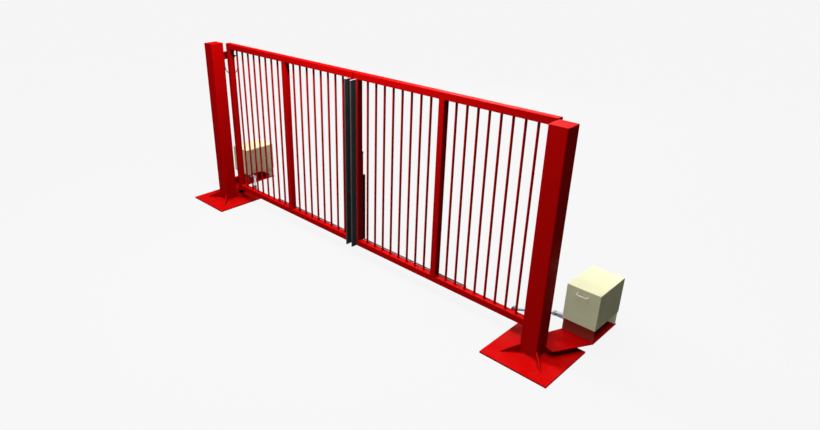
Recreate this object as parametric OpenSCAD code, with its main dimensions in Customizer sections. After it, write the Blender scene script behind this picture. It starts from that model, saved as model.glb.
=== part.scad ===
// Powered double-leaf bar swing gate on free-standing posts.
// X runs along the gateway, +Y is the side the leaves open to, +Z is up.
// The origin is on the ground, midway between the two posts.
// The right half is drawn at +X, and the left half is its mirror image.

/* [Gateway] */
// Clear opening between the two posts
clear_open = 5488; // [3000:1:8000]
// Width and depth of a square post
post_w = 200; // [140:1:300]
// Height of a post with its cap
post_h = 2490; // [1500:1:3500]
// Wall of the post's tube
post_wall = 8; // [5:1:12]
// Outer corner radius of the post's tube
post_corner = 10; // [4:1:16]
// Thickness of the post's cap plate
cap_t = 10; // [5:1:20]
// Side of the square base plate
base_w = 788; // [500:1:1200]
// Thickness of the base plate
base_t = 20; // [12:1:30]
// Height of a corner gusset above the base plate
gusset_h = 96; // [50:1:200]
// Length of a gusset along the ground
gusset_l = 208; // [100:1:230]
// Thickness of a gusset
gusset_t = 12; // [6:1:20]
// Height of a gusset's blunt outer end
gusset_nose = 8; // [4:1:20]

/* [Leaf] */
// Width and depth of the leaf's frame tubes
frame_w = 80; // [50:1:100]
// Wall of the frame tubes
frame_wall = 4; // [3:1:6]
// Outer corner radius of the frame tubes
frame_corner = 5; // [3:1:8]
// Height of the leaf's underside above the ground
leaf_bottom = 174; // [150:1:300]
// Gap from the post's top down to the leaf's top
leaf_drop = 3; // [0:1:100]
// Gap from the post's back face to the leaf's front face
leaf_set_back = 26; // [10:1:60]
// Gap between the leaf's outer end and the post's inner face
leaf_end_gap = 26; // [10:1:60]
// Gap between the two leaves where they meet
meet_gap = 10; // [8:1:30]
// Number of infill bars in each of a leaf's two bays
bay_bars = 8; // [2:1:12]
// Diameter of an infill bar
bar_d = 28; // [16:1:34]
// Wall of an infill bar
bar_wall = 3; // [2:1:5]
// Clear distance from a stile to the centre of the nearest bar
bar_end_gap = 132; // [60:1:200]

/* [Hinges] */
// Distance from the post's middle line to the hinge axis, towards the gateway
hinge_in = 36; // [24:1:40]
// Distance from the post's back face to the hinge axis
hinge_back = 180; // [160:1:220]
// Height of a hinge bracket
hinge_h = 100; // [80:1:140]
// Distance from the leaf's underside up to the lower hinge's middle
hinge_low = 111; // [90:1:300]
// Distance from the leaf's top down to the upper hinge's middle
hinge_high = 191; // [120:1:400]
// Diameter of a hinge pin
pin_d = 24; // [18:1:30]
// Outer diameter of the leaf's hinge bush
bush_d = 38; // [34:1:44]
// Outer diameter of the leaf's hinge barrel
barrel_d = 60; // [50:1:66]
// Thickness of the hinge plates
hinge_t = 12; // [8:1:16]

/* [Drive arm] */
// Distance along the leaf from the hinge axis to the lug's pin
lug_reach = 368; // [330:1:384]
// Distance from the leaf's back face to the lug's pin
lug_back = 48; // [44:1:56]
// Distance along the gateway from the lug's pin to the crank's pin
rod_x = 345; // [320:1:360]
// Distance rearwards from the lug's pin to the crank's pin
rod_y = 245; // [244:1:260]
// Height of the arm's middle above the ground
arm_z = 238; // [234:1:240]
// Width of the crank arm
crank_w = 40; // [30:1:42]
// Height of the crank arm
crank_t = 44; // [38:1:46]
// Width of the connecting rod
rod_w = 28; // [20:1:32]
// Height of the connecting rod
rod_t = 24; // [18:1:26]
// Diameter of the arm's two pivot pins
link_pin_d = 20; // [14:1:24]
// Diameter of the operator's output shaft
shaft_d = 40; // [30:1:50]

/* [Operator] */
// Width of the operator's cover
cover_w = 374; // [366:1:420]
// Depth of the operator's cover
cover_d = 536; // [530:1:640]
// Height of the operator's cover
cover_h = 425; // [300:1:600]
// Height of the cover's lower edge above the ground
cover_z = 265; // [262:1:268]
// Wall of the cover
cover_t = 3; // [2:1:5]
// Distance from the post's back face to the cover's front face
cover_back = 343; // [338:1:348]
// Distance from the post's outer face plane to the cover's middle
cover_out = 145; // [143:1:160]
// Height of the platform's top face above the ground
platform_z = 105; // [80:1:120]
// Thickness of the platform plate
platform_t = 10; // [8:1:15]
// Thickness of the plates that carry the deck
pedestal_t = 6; // [4:1:8]
// Thickness of the operator's deck plate
deck_t = 10; // [8:1:12]
// Diameter of a deck post
deck_post_d = 24; // [16:1:26]
// Diameter of the motor
motor_d = 124; // [100:1:130]
// Length of the motor
motor_l = 190; // [120:1:230]
// Turns of the worm for one turn of the output shaft
worm_ratio = 30; // [20:1:60]

/* [Safety edges and lock] */
// Width of the front safety edge
edge_w = 22; // [16:1:30]
// Reach of the front safety edge from the leaf's front face
edge_reach = 90; // [50:1:100]
// Distance from the leaf's meeting end to the edge's middle
edge_in = 46; // [20:1:60]
// Gap from the leaf's top down to the safety edge's top
edge_drop = 81; // [10:1:200]
// Gap from the leaf's underside up to the safety edge's lower end
edge_rise = 17; // [0:1:100]
// Thickness of the edge's carrier channel
carrier_t = 12; // [8:1:20]
// Height of the rear safety edge
rear_edge_h = 44; // [30:1:60]
// Reach of the rear safety edge behind the leaf
rear_edge_reach = 32; // [20:1:50]
// Length of the rear safety edge
rear_edge_l = 1775; // [800:1:2000]
// Width and depth of the drop bolt's housing
housing_w = 50; // [48:1:60]
// Height of the drop bolt's housing
housing_h = 970; // [600:1:1300]
// Height of the housing's lower end above the leaf's underside
housing_rise = 20; // [10:1:80]
// Diameter of the drop bolt
bolt_d = 20; // [14:1:24]
// Length of the drop bolt above its housing
bolt_above = 286; // [200:1:400]

/* [Loop cable] */
// Diameter of the loop cable between post and leaf
cable_d = 12; // [8:1:16]
// Height of the glands above the ground
gland_z = 2300; // [2296:1:2304]
// Length of a cable gland
gland_l = 28; // [20:1:36]

/* [Hidden] */
$fn = 48;
// Gap kept between round faces that don't bear on each other
air = 0.5;
// Radial clearance of a running fit
run = 0.05;
post_x = clear_open / 2 + post_w / 2;
post_in = clear_open / 2;
post_out = clear_open / 2 + post_w;
post_back = post_w / 2;
leaf_front = post_back + leaf_set_back;
leaf_rear = leaf_front + frame_w;
leaf_mid = leaf_front + frame_w / 2;
leaf_top = post_h - leaf_drop;
leaf_out = post_in - leaf_end_gap;
leaf_in = meet_gap / 2;
rail_cap_t = 3;
bay_z0 = leaf_bottom + frame_w;
bay_z1 = leaf_top - frame_w;
mid_x = (leaf_in + leaf_out) / 2;

// Hinge axis and its two heights
hinge_x = post_x - hinge_in;
hinge_y = post_back + hinge_back;
hinge_zs = [leaf_bottom + hinge_low, leaf_top - hinge_high];
bracket_w = 76;
bracket_back_t = 10;
bracket_web_t = 10;
pin_head_d = 40;
pin_head_t = 8;
pin_below = 6;
barrel_h = hinge_h - 2 * hinge_t;
bush_flange = 2;
bush_flange_d = barrel_d - 6;
arm_plate_in = 40;
arm_neck = 8;
arm_bite = 2;
hinge_web_gap = 20;

// Arm linkage: lug pin, crank pin and output shaft make a parallelogram with the hinge
lug = [hinge_x - lug_reach, leaf_rear + lug_back];
crank_pin = lug + [rod_x, rod_y];
shaft = crank_pin + [hinge_x, hinge_y] - lug;
crank_vec = crank_pin - shaft;
crank_l = norm(crank_vec);
crank_angle = atan2(crank_vec[1], crank_vec[0]);
rod_l = norm([rod_x, rod_y]);
rod_angle = atan2(-rod_y, -rod_x);
eye_d = 50;
hub_d = 76;
shaft_below = 8;
shaft_top_gap = 2;
fork_depth = 38;
fork_gap = 1;
ear_t = 12;
lug_plate_t = 8;
lug_w = 50;
pin_cap_t = 5;
pin_cap_extra = 8;

// Operator
cover_x0 = post_out + cover_out - cover_w / 2;
cover_x1 = cover_x0 + cover_w;
cover_y0 = post_back + cover_back;
cover_y1 = cover_y0 + cover_d;
deck_z = cover_z;
deck_top = deck_z + deck_t;
deck_in = 8;
deck_front_gap = 20;
deck_tab_in = 80;
deck_tab_w = 50;
deck_hole_d = 60;
pedestal_in = 16;
pedestal_rear_in = 4;
pedestal_x0 = cover_x0;
pedestal_x1 = cover_x1 - pedestal_in;
pedestal_front_y = cover_y0 + 35;
pedestal_rear_y = cover_y1 - pedestal_in - pedestal_t;
// Where the platform wraps the post's outer corner, and how it ends under the operator
lip_in = 31;
lip_out = 103;
lip_slant = 30;
platform_over = 4;
platform_rib_t = 10;
platform_rib_h = 60;
platform_rib_in = [60, 150];
platform_rib_run = [80, 140];
// Places of the deck posts from the pedestal plates
deck_post_left_in = 33;
deck_post_right_in = 44;
deck_post_front_in = 60;
deck_post_rear_in = 45;
case_left = 110;
case_right = 72;
case_front = 70;
case_rear = 130;
case_h = 140;
case_x0 = shaft[0] - case_left;
case_x1 = shaft[0] + case_right;
case_y0 = shaft[1] - case_front;
case_y1 = shaft[1] + case_rear;
case_z1 = deck_top + case_h;
case_wall = 8;
case_floor = 12;
case_lid_t = 10;
lid_boss_h = 16;
wheel_r = 60;
wheel_z = deck_top + 80;
wheel_t = 30;
tooth_gap_w = 5;
tooth_depth = 5;
worm_r = 18;
worm_core_r = 14;
worm_shaft_d = 20;
worm_pitch = 12;
worm_l = 84;
worm_end_gap = 2;
worm_x = shaft[0] - wheel_r - worm_r - air;
motor_y0 = case_y1;
motor_wall = 5;
motor_flange_t = 10;
rotor_d = 70;
rotor_in = 25;
rotor_l = motor_l - 60;
box_w = 80;
box_d = 200;
box_h = 190;
box_wall = 3;
box_lid_t = 12;
box_lid_over = 2;
box_side_gap = 18;
box_front_gap = 120;
screw_d = 14;
screw_head = 4;
screw_in = deck_tab_in + deck_tab_w / 2;
handle_l = 132;
handle_d = 12;
handle_out = 38;
handle_drop = 68;
handle_foot_t = 3;
handle_foot_d = handle_d + 8;

// Safety edges
front_edge_z0 = leaf_bottom + edge_rise;
front_edge_z1 = leaf_top - edge_drop;
edge_x0 = leaf_in + edge_in - edge_w / 2;
edge_cap_t = 4;
edge_nose_r = 6;
rear_edge_z1 = bay_z0 + 4;
rear_edge_x0 = leaf_in + 5;
rear_carrier_t = 6;
rear_edge_gap = 4;

// Drop bolt and its housing on the right leaf
housing_x1 = leaf_in + frame_w;
housing_x0 = housing_x1 - housing_w;
housing_z0 = leaf_bottom + housing_rise;
housing_z1 = housing_z0 + housing_h;
housing_wall = 4;
housing_end_t = 8;
bolt_off = -3;
bolt_at = [(housing_x0 + housing_x1) / 2 + bolt_off, leaf_rear + housing_w / 2];
bolt_up = 2;
bolt_collar_l = 60;
bolt_collar_d = bolt_d + 6;
bolt_collar_drop = 240;
knob_d = 30;
knob_h = 27.2;
knob_round = 6;

// Glands and the cable's route, right side: straight out of the post's gland,
// down in a hanging loop and back up into the leaf's gland
gland_d = 26;
post_gland_x = post_x + 60;
leaf_gland_x = leaf_out - 60;
gland_nut_t = 8;
gland_nut_extra = 6;
gland_mouth = 10;
cable_route = [
    [2904, 128, 2300], [2898, 157, 2290], [2894, 177, 2266], [2891, 184, 2235],
    [2890, 185, 2204], [2889, 185, 2172], [2887, 185, 2141], [2886, 185, 2109],
    [2882, 187, 2078], [2870, 192, 2049], [2847, 202, 2030], [2819, 214, 2022],
    [2790, 227, 2021], [2761, 240, 2022], [2734, 253, 2030], [2711, 264, 2049],
    [2697, 271, 2076], [2690, 275, 2107], [2686, 278, 2138], [2683, 280, 2170],
    [2679, 283, 2201], [2676, 285, 2232], [2671, 280, 2263], [2664, 262, 2288],
    [2658, 234, 2300]];
// Rings of the cable between two route points
cable_steps = 2;
cable_sides = 8;

red = [0.72, 0.02, 0.02];
cream = [0.93, 0.90, 0.74];
steel = [0.62, 0.66, 0.70];
dark_steel = [0.25, 0.25, 0.27];
rubber = [0.10, 0.10, 0.11];
zinc = [0.75, 0.76, 0.78];
bronze = [0.72, 0.56, 0.25];
pale_grey = [0.80, 0.81, 0.82];

// ---- Shared shapes ----

// A half of the gate: side 1 is the right, side -1 the left
module half(side) {
    if (side < 0)
        mirror([1, 0, 0]) children();
    else
        children();
}

module both_halves() {
    half(1) children();
    half(-1) children();
}

// A square outline with round corners, centred
module rounded(w, d, r) {
    square([w - 2 * r, d], center = true);
    square([w, d - 2 * r], center = true);
    for (sx = [-1, 1], sy = [-1, 1])
        translate([sx * (w / 2 - r), sy * (d / 2 - r)]) circle(r);
}

// The cross-section of a square tube, centred
module tube_section(w, wall, r) {
    difference() {
        rounded(w, w, r);
        square([w - 2 * wall, w - 2 * wall], center = true);
    }
}

module block(from, to) {
    translate(from) cube(to - from);
}

module rod_z(d, z0, z1, at = [0, 0]) {
    translate([at[0], at[1], z0]) cylinder(d = d, h = z1 - z0);
}

// ---- Posts ----

module base_plates() {
    color(red) both_halves()
        block([post_x - base_w / 2, -base_w / 2, 0], [post_x + base_w / 2, base_w / 2, base_t]);
}

module post(side) {
    color(red) half(side) translate([post_x, 0, base_t])
        linear_extrude(post_h - cap_t - base_t) tube_section(post_w, post_wall, post_corner);
}

module post_caps() {
    color(red) both_halves() translate([post_x, 0, post_h - cap_t])
        linear_extrude(cap_t) rounded(post_w, post_w, post_corner);
}

// A triangular rib standing on the base plate, running out from a post corner
module gusset(h) {
    corner = post_w / 2 * sqrt(2) - post_corner * (sqrt(2) - 1);
    nose = gusset_nose;
    translate([corner, gusset_t / 2, base_t]) rotate([90, 0, 0]) linear_extrude(gusset_t)
        polygon([[0, 0], [gusset_l, 0], [gusset_l, nose], [nose, h], [0, h]]);
}

// The two rear gussets stop under the operator's platform, and help to carry it
module gussets() {
    rear_h = min(gusset_h, platform_z - platform_t - base_t);
    color(red) both_halves() translate([post_x, 0, 0]) {
        for (a = [225, 315]) rotate(a) gusset(gusset_h);
        for (a = [45, 135]) rotate(a) gusset(rear_h);
    }
}

// ---- Operator platform and pedestal ----

// The plate's outline runs round the post's rear outer corner and out under the operator
module platforms() {
    lip_y = post_back - lip_in;
    rear_y = cover_y1 + platform_over;
    run_x = pedestal_x0 + platform_rib_run[0] - post_in;
    run_y = cover_y0 + platform_rib_run[1] - post_back;
    outline = [
        [post_in, post_back], [post_out, post_back], [post_out, lip_y],
        [post_out + lip_out, lip_y - lip_slant], [cover_x1, cover_y0 + pedestal_in],
        [cover_x1, rear_y], [pedestal_x0, rear_y], [pedestal_x0, pedestal_front_y]];
    color(red) both_halves() {
        translate([0, 0, platform_z - platform_t]) linear_extrude(platform_t) polygon(outline);
        for (rib_in = platform_rib_in)
            translate([post_in + rib_in, post_back, platform_z - platform_t - platform_rib_h])
                linear_extrude(platform_rib_h + platform_t / 2) polygon([
                    [0, 0], [platform_rib_t, 0], [platform_rib_t + run_x, run_y], [run_x, run_y]]);
    }
}

module pedestal_front() {
    color(red) both_halves()
        block([pedestal_x0, pedestal_front_y, platform_z],
            [pedestal_x1, pedestal_front_y + pedestal_t, deck_z]);
}

module pedestal_rear() {
    color(cream) both_halves()
        block([pedestal_x0, pedestal_rear_y, platform_z],
            [cover_x1 - pedestal_rear_in, pedestal_rear_y + pedestal_t, deck_z]);
}

// The deck, with a tab at each side that the cover is screwed to
module deck_plates() {
    inner_w = cover_w - 2 * cover_t;
    color(dark_steel) both_halves() difference() {
        union() {
            block([cover_x0 + deck_in, cover_y0 + deck_front_gap, deck_z],
                [cover_x1 - deck_in, cover_y1 - deck_in, deck_top]);
            for (y = [cover_y0 + deck_tab_in, cover_y1 - deck_tab_in - deck_tab_w])
                block([cover_x0 + cover_t, y, deck_z],
                    [cover_x0 + cover_t + inner_w, y + deck_tab_w, deck_top]);
        }
        rod_z(deck_hole_d, deck_z - 1, deck_top + 1, shaft);
    }
}

module deck_posts() {
    right_x = pedestal_x1 - deck_post_right_in;
    left_x = pedestal_x0 + deck_post_left_in;
    front_y = pedestal_front_y + deck_post_front_in;
    rear_y = pedestal_rear_y - deck_post_rear_in;
    color(cream) both_halves()
        for (p = [[right_x, front_y], [left_x, rear_y]])
            rod_z(deck_post_d, platform_z, deck_z, p);
}

// ---- Operator ----

// The open case with its floor bearing, and its lid with the upper bearing
module gear_cases() {
    color(dark_steel) both_halves() {
        difference() {
            block([case_x0, case_y0, deck_top], [case_x1, case_y1, case_z1]);
            block([case_x0 + case_wall, case_y0 + case_wall, deck_top + case_floor],
                [case_x1 - case_wall, case_y1 - case_wall, case_z1 + 1]);
            rod_z(shaft_d + 2 * run, deck_top - 1, deck_top + case_floor + 1, shaft);
            translate([worm_x, case_y0 - 1, wheel_z]) rotate([-90, 0, 0])
                cylinder(d = worm_shaft_d + 2 * run, h = case_y1 - case_y0 + 2);
        }
        difference() {
            union() {
                block([case_x0, case_y0, case_z1], [case_x1, case_y1, case_z1 + case_lid_t]);
                rod_z(shaft_d + 24, case_z1 - lid_boss_h, case_z1, shaft);
            }
            rod_z(shaft_d + 2 * run, case_z1 - lid_boss_h - 1, case_z1 + case_lid_t + 1, shaft);
        }
    }
}

module motors() {
    color(dark_steel) both_halves() translate([worm_x, motor_y0, wheel_z]) rotate([-90, 0, 0])
        difference() {
            cylinder(d = motor_d, h = motor_l);
            translate([0, 0, motor_flange_t])
                cylinder(d = motor_d - 2 * motor_wall, h = motor_l - motor_flange_t - motor_wall);
            translate([0, 0, -1]) cylinder(d = worm_shaft_d + 2 * run, h = motor_flange_t + 2);
        }
}

// The worm on its shaft, which carries the motor's rotor at the other end
module worm_shaft(side) {
    rotor_y = motor_y0 + rotor_in;
    start_y = case_y0 + worm_end_gap;
    ribs = floor(worm_l / worm_pitch);
    color(steel) half(side) translate([worm_x, start_y, wheel_z]) rotate([-90, 0, 0]) {
        cylinder(d = worm_shaft_d, h = rotor_y + rotor_l + worm_pitch - start_y);
        translate([0, 0, shaft[1] - start_y - worm_l / 2]) {
            cylinder(r = worm_core_r, h = worm_l);
            for (i = [0:ribs - 1])
                translate([0, 0, (i + 1 / 4) * worm_pitch]) cylinder(r = worm_r, h = worm_pitch / 2);
        }
        translate([0, 0, rotor_y - start_y]) cylinder(d = rotor_d, h = rotor_l);
    }
}

// The output shaft with the worm wheel keyed to it
module output_shaft(side) {
    half(side) {
        color(steel)
            rod_z(shaft_d, arm_z - crank_t / 2 - shaft_below,
                case_z1 + case_lid_t - shaft_top_gap, shaft);
        color(bronze) translate([shaft[0], shaft[1], wheel_z - wheel_t / 2])
            difference() {
                cylinder(r = wheel_r, h = wheel_t);
                translate([0, 0, -1]) cylinder(d = shaft_d, h = wheel_t + 2);
                for (i = [0:worm_ratio - 1]) rotate(i * 360 / worm_ratio)
                    translate([wheel_r - tooth_depth, -tooth_gap_w / 2, -1])
                        cube([2 * tooth_depth, tooth_gap_w, wheel_t + 2]);
            }
    }
}

// A box with a lid, for the control board
module control_boxes() {
    x0 = cover_x0 + cover_t + box_side_gap;
    y0 = cover_y0 + box_front_gap;
    over = box_lid_over;
    color(pale_grey) both_halves() {
        difference() {
            block([x0, y0, deck_top], [x0 + box_w, y0 + box_d, deck_top + box_h]);
            block([x0 + box_wall, y0 + box_wall, deck_top + box_wall],
                [x0 + box_w - box_wall, y0 + box_d - box_wall, deck_top + box_h + 1]);
        }
        block([x0 - over, y0 - over, deck_top + box_h],
            [x0 + box_w + over, y0 + box_d + over, deck_top + box_h + box_lid_t]);
    }
}

module cover(side) {
    color(cream) half(side) difference() {
        block([cover_x0, cover_y0, cover_z], [cover_x1, cover_y1, cover_z + cover_h]);
        block([cover_x0 + cover_t, cover_y0 + cover_t, cover_z - 1],
            [cover_x1 - cover_t, cover_y1 - cover_t, cover_z + cover_h - cover_t]);
    }
}

// A bar handle on the cover's front face
module cover_handles() {
    mid = (cover_x0 + cover_x1) / 2;
    z = cover_z + cover_h - handle_drop;
    y = cover_y0 - handle_out;
    foot_x = handle_l / 2 - handle_d / 2;
    color(cream) both_halves() translate([mid, 0, z]) {
        translate([-handle_l / 2 + handle_d / 2, y, 0]) rotate([0, 90, 0])
            cylinder(d = handle_d, h = handle_l - handle_d);
        for (s = [-1, 1]) {
            translate([s * foot_x, y, 0]) sphere(d = handle_d);
            translate([s * foot_x, y, 0]) rotate([-90, 0, 0]) cylinder(d = handle_d, h = handle_out);
            translate([s * foot_x, cover_y0 - handle_foot_t, 0]) rotate([-90, 0, 0])
                cylinder(d = handle_foot_d, h = handle_foot_t);
        }
    }
}

// Button-head screws through the cover's sides into the deck's tabs
module cover_screws() {
    color(zinc) both_halves()
        for (y = [cover_y0 + screw_in, cover_y1 - screw_in], s = [-1, 1])
            translate([s < 0 ? cover_x0 : cover_x1, y, deck_z + deck_t / 2]) rotate([0, s * 90, 0])
                cylinder(d = screw_d, h = screw_head);
}

// ---- Hinges ----

// Post-side bracket: back plate, upright web and two ears round the pin
module hinge_bracket(z) {
    z0 = z - hinge_h / 2;
    z1 = z + hinge_h / 2;
    web_end = hinge_y - barrel_d / 2 - hinge_web_gap;
    difference() {
        union() {
            block([hinge_x - bracket_w / 2, post_back, z0],
                [hinge_x + bracket_w / 2, post_back + bracket_back_t, z1]);
            block([hinge_x - bracket_web_t / 2, post_back, z0],
                [hinge_x + bracket_web_t / 2, web_end, z1]);
            for (ear = [z0, z1 - hinge_t]) {
                block([hinge_x - bracket_w / 2, post_back, ear],
                    [hinge_x + bracket_w / 2, hinge_y, ear + hinge_t]);
                rod_z(bracket_w, ear, ear + hinge_t, [hinge_x, hinge_y]);
            }
        }
        rod_z(pin_d, z0 - 1, z1 + 1, [hinge_x, hinge_y]);
    }
}

module hinge_brackets() {
    color(red) both_halves() for (z = hinge_zs) hinge_bracket(z);
}

module hinge_pins() {
    color(zinc) both_halves() for (z = hinge_zs) {
        rod_z(pin_d, z - hinge_h / 2 - pin_below, z + hinge_h / 2, [hinge_x, hinge_y]);
        rod_z(pin_head_d, z + hinge_h / 2, z + hinge_h / 2 + pin_head_t, [hinge_x, hinge_y]);
    }
}

// Leaf-side arm: two plates from the stile's rear face to the barrel
module hinge_arm(z) {
    z0 = z - barrel_h / 2 + bush_flange;
    z1 = z + barrel_h / 2 - bush_flange;
    x0 = leaf_out - arm_plate_in;
    difference() {
        union() {
            for (plate = [z0, z1 - hinge_t])
                translate([0, 0, plate]) linear_extrude(hinge_t) union() {
                    polygon([[x0, leaf_rear], [leaf_out, leaf_rear],
                        [hinge_x + arm_neck, hinge_y - barrel_d / 2 + arm_bite],
                        [hinge_x - arm_neck, hinge_y + barrel_d / 2 - arm_bite]]);
                    translate([hinge_x, hinge_y]) circle(d = barrel_d);
                }
            rod_z(barrel_d, z0, z1, [hinge_x, hinge_y]);
        }
        rod_z(bush_d, z0 - 1, z1 + 1, [hinge_x, hinge_y]);
    }
}

module hinge_arms(side) {
    color(red) half(side) for (z = hinge_zs) hinge_arm(z);
}

// Flanged bushes pressed into the barrels
module hinge_bushes(side) {
    color(bronze) half(side) for (z = hinge_zs) difference() {
        union() {
            rod_z(bush_d, z - barrel_h / 2, z + barrel_h / 2, [hinge_x, hinge_y]);
            for (end = [z - barrel_h / 2, z + barrel_h / 2 - bush_flange])
                rod_z(bush_flange_d, end, end + bush_flange, [hinge_x, hinge_y]);
        }
        rod_z(pin_d + 2 * run, z - hinge_h, z + hinge_h, [hinge_x, hinge_y]);
    }
}

// ---- Leaf frame ----

// A rail along X, closed at each end by a welded plate
module rail(z) {
    translate([leaf_in + rail_cap_t, leaf_mid, z + frame_w / 2]) rotate([90, 0, 90])
        linear_extrude(leaf_out - leaf_in - 2 * rail_cap_t)
            tube_section(frame_w, frame_wall, frame_corner);
    for (x = [leaf_in, leaf_out - rail_cap_t])
        translate([x, leaf_mid, z + frame_w / 2]) rotate([90, 0, 90])
            linear_extrude(rail_cap_t) rounded(frame_w, frame_w, frame_corner);
}

module top_rail(side) {
    color(red) half(side) rail(bay_z1);
}

module bottom_rail(side) {
    color(red) half(side) rail(leaf_bottom);
}

module stile(side, x) {
    color(red) half(side) translate([x, leaf_mid, bay_z0])
        linear_extrude(bay_z1 - bay_z0) tube_section(frame_w, frame_wall, frame_corner);
}

// The infill tubes of one bay between two stile faces
module bay(x0, x1) {
    pitch = (x1 - x0 - 2 * bar_end_gap) / (bay_bars - 1);
    for (i = [0:bay_bars - 1])
        translate([x0 + bar_end_gap + i * pitch, leaf_mid, bay_z0]) difference() {
            cylinder(d = bar_d, h = bay_z1 - bay_z0, $fn = 24);
            translate([0, 0, -1])
                cylinder(d = bar_d - 2 * bar_wall, h = bay_z1 - bay_z0 + 2, $fn = 24);
        }
}

module bars(side) {
    color(red) half(side) {
        bay(leaf_in + frame_w, mid_x - frame_w / 2);
        bay(mid_x + frame_w / 2, leaf_out - frame_w);
    }
}

// ---- Arm ----

// The leaf's lug: a back plate, two ears and the pin between them
module arm_lug(side) {
    gap_z0 = arm_z - rod_t / 2 - fork_gap;
    gap_z1 = arm_z + rod_t / 2 + fork_gap;
    plate_z0 = gap_z0 - ear_t;
    plate_z1 = min(gap_z1 + ear_t, bay_z0);
    color(dark_steel) half(side) {
        block([lug[0] - lug_w / 2, leaf_rear, plate_z0],
            [lug[0] + lug_w / 2, leaf_rear + lug_plate_t, plate_z1]);
        for (z = [plate_z0, gap_z1]) {
            block([lug[0] - lug_w / 2, leaf_rear + lug_plate_t, z],
                [lug[0] + lug_w / 2, lug[1], z + ear_t]);
            rod_z(lug_w, z, z + ear_t, lug);
        }
        rod_z(link_pin_d, plate_z0 - pin_cap_t, gap_z1 + ear_t + pin_cap_t, lug);
    }
}

// The connecting rod, an eye at each end of a flat bar
module link_rod(side) {
    color(steel) half(side) translate([crank_pin[0], crank_pin[1], arm_z - rod_t / 2])
        rotate(rod_angle) difference() {
            union() {
                translate([0, -rod_w / 2, 0]) cube([rod_l, rod_w, rod_t]);
                cylinder(d = eye_d, h = rod_t);
                translate([rod_l, 0, 0]) cylinder(d = eye_d, h = rod_t);
            }
            translate([0, 0, -1]) cylinder(d = link_pin_d + 2 * run, h = rod_t + 2);
            translate([rod_l, 0, -1]) cylinder(d = link_pin_d + 2 * air, h = rod_t + 2);
        }
}

// The crank arm: a hub on the output shaft and a fork at the pin
module crank(side) {
    slot_h = rod_t + 2 * fork_gap;
    color(steel) half(side) translate([shaft[0], shaft[1], arm_z - crank_t / 2])
        rotate(crank_angle) difference() {
            union() {
                translate([0, -crank_w / 2, 0]) cube([crank_l, crank_w, crank_t]);
                cylinder(d = hub_d, h = crank_t);
                translate([crank_l, 0, 0]) cylinder(d = eye_d, h = crank_t);
            }
            translate([crank_l - fork_depth, -eye_d, crank_t / 2 - slot_h / 2])
                cube([fork_depth + eye_d, 2 * eye_d, slot_h]);
            translate([0, 0, -1]) cylinder(d = shaft_d, h = crank_t + 2);
            translate([crank_l, 0, -1]) cylinder(d = link_pin_d, h = crank_t + 2);
        }
}

module crank_pin_solid(side) {
    color(zinc) half(side) {
        rod_z(link_pin_d, arm_z - crank_t / 2 - pin_cap_t, arm_z + crank_t / 2, crank_pin);
        rod_z(link_pin_d + pin_cap_extra, arm_z - crank_t / 2 - pin_cap_t, arm_z - crank_t / 2,
            crank_pin);
    }
}

// ---- Safety edges ----

// Aluminium channels that hold the rubber, and the front edge's end caps
module edge_carriers(side) {
    color(zinc) half(side) {
        block([edge_x0, leaf_front - carrier_t, front_edge_z0],
            [edge_x0 + edge_w, leaf_front, front_edge_z1]);
        for (z = [front_edge_z0 - edge_cap_t, front_edge_z1])
            block([edge_x0, leaf_front - edge_reach, z],
                [edge_x0 + edge_w, leaf_front, z + edge_cap_t]);
        block([rear_edge_start(side), leaf_rear, rear_edge_z1 - rear_edge_h],
            [rear_edge_x0 + rear_edge_l, leaf_rear + rear_carrier_t, bay_z0]);
    }
}

// On the right leaf the rear edge starts beyond the drop bolt's housing
function rear_edge_start(side) = side > 0 ? housing_x1 + rear_edge_gap : rear_edge_x0;

module edge_rubber(side) {
    r = edge_nose_r;
    color(rubber) half(side) {
        block([edge_x0, leaf_front - edge_reach + r, front_edge_z0],
            [edge_x0 + edge_w, leaf_front - carrier_t, front_edge_z1]);
        block([edge_x0 + r, leaf_front - edge_reach, front_edge_z0],
            [edge_x0 + edge_w - r, leaf_front - edge_reach + r, front_edge_z1]);
        for (x = [edge_x0 + r, edge_x0 + edge_w - r])
            rod_z(2 * r, front_edge_z0, front_edge_z1, [x, leaf_front - edge_reach + r]);
        block([rear_edge_start(side), leaf_rear + rear_carrier_t, rear_edge_z1 - rear_edge_h],
            [rear_edge_x0 + rear_edge_l, leaf_rear + rear_edge_reach, rear_edge_z1]);
    }
}

// ---- Drop bolt on the right leaf ----

module bolt_housing() {
    color(rubber) difference() {
        block([housing_x0, leaf_rear, housing_z0],
            [housing_x1, leaf_rear + housing_w, housing_z1]);
        block([housing_x0 + housing_wall, leaf_rear + housing_wall, housing_z0 + housing_end_t],
            [housing_x1 - housing_wall, leaf_rear + housing_w - housing_wall,
                housing_z1 - housing_end_t]);
        rod_z(bolt_d + 2 * run, housing_z0 - 1, housing_z1 + 1, bolt_at);
    }
}

module drop_bolt() {
    color(red) {
        rod_z(bolt_d, housing_z0 + bolt_up, housing_z1 + bolt_above, bolt_at);
        rod_z(bolt_collar_d, housing_z1 - bolt_collar_drop - bolt_collar_l,
            housing_z1 - bolt_collar_drop, bolt_at);
    }
}

module bolt_knob() {
    r = knob_round;
    color(red) translate([bolt_at[0], bolt_at[1], housing_z1 + bolt_above])
        rotate_extrude() union() {
            square([knob_d / 2 - r, knob_h]);
            translate([0, r]) square([knob_d / 2, knob_h - 2 * r]);
            for (y = [r, knob_h - r]) translate([knob_d / 2 - r, y]) circle(r);
        }
}

// ---- Loop cables and their glands ----

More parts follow.
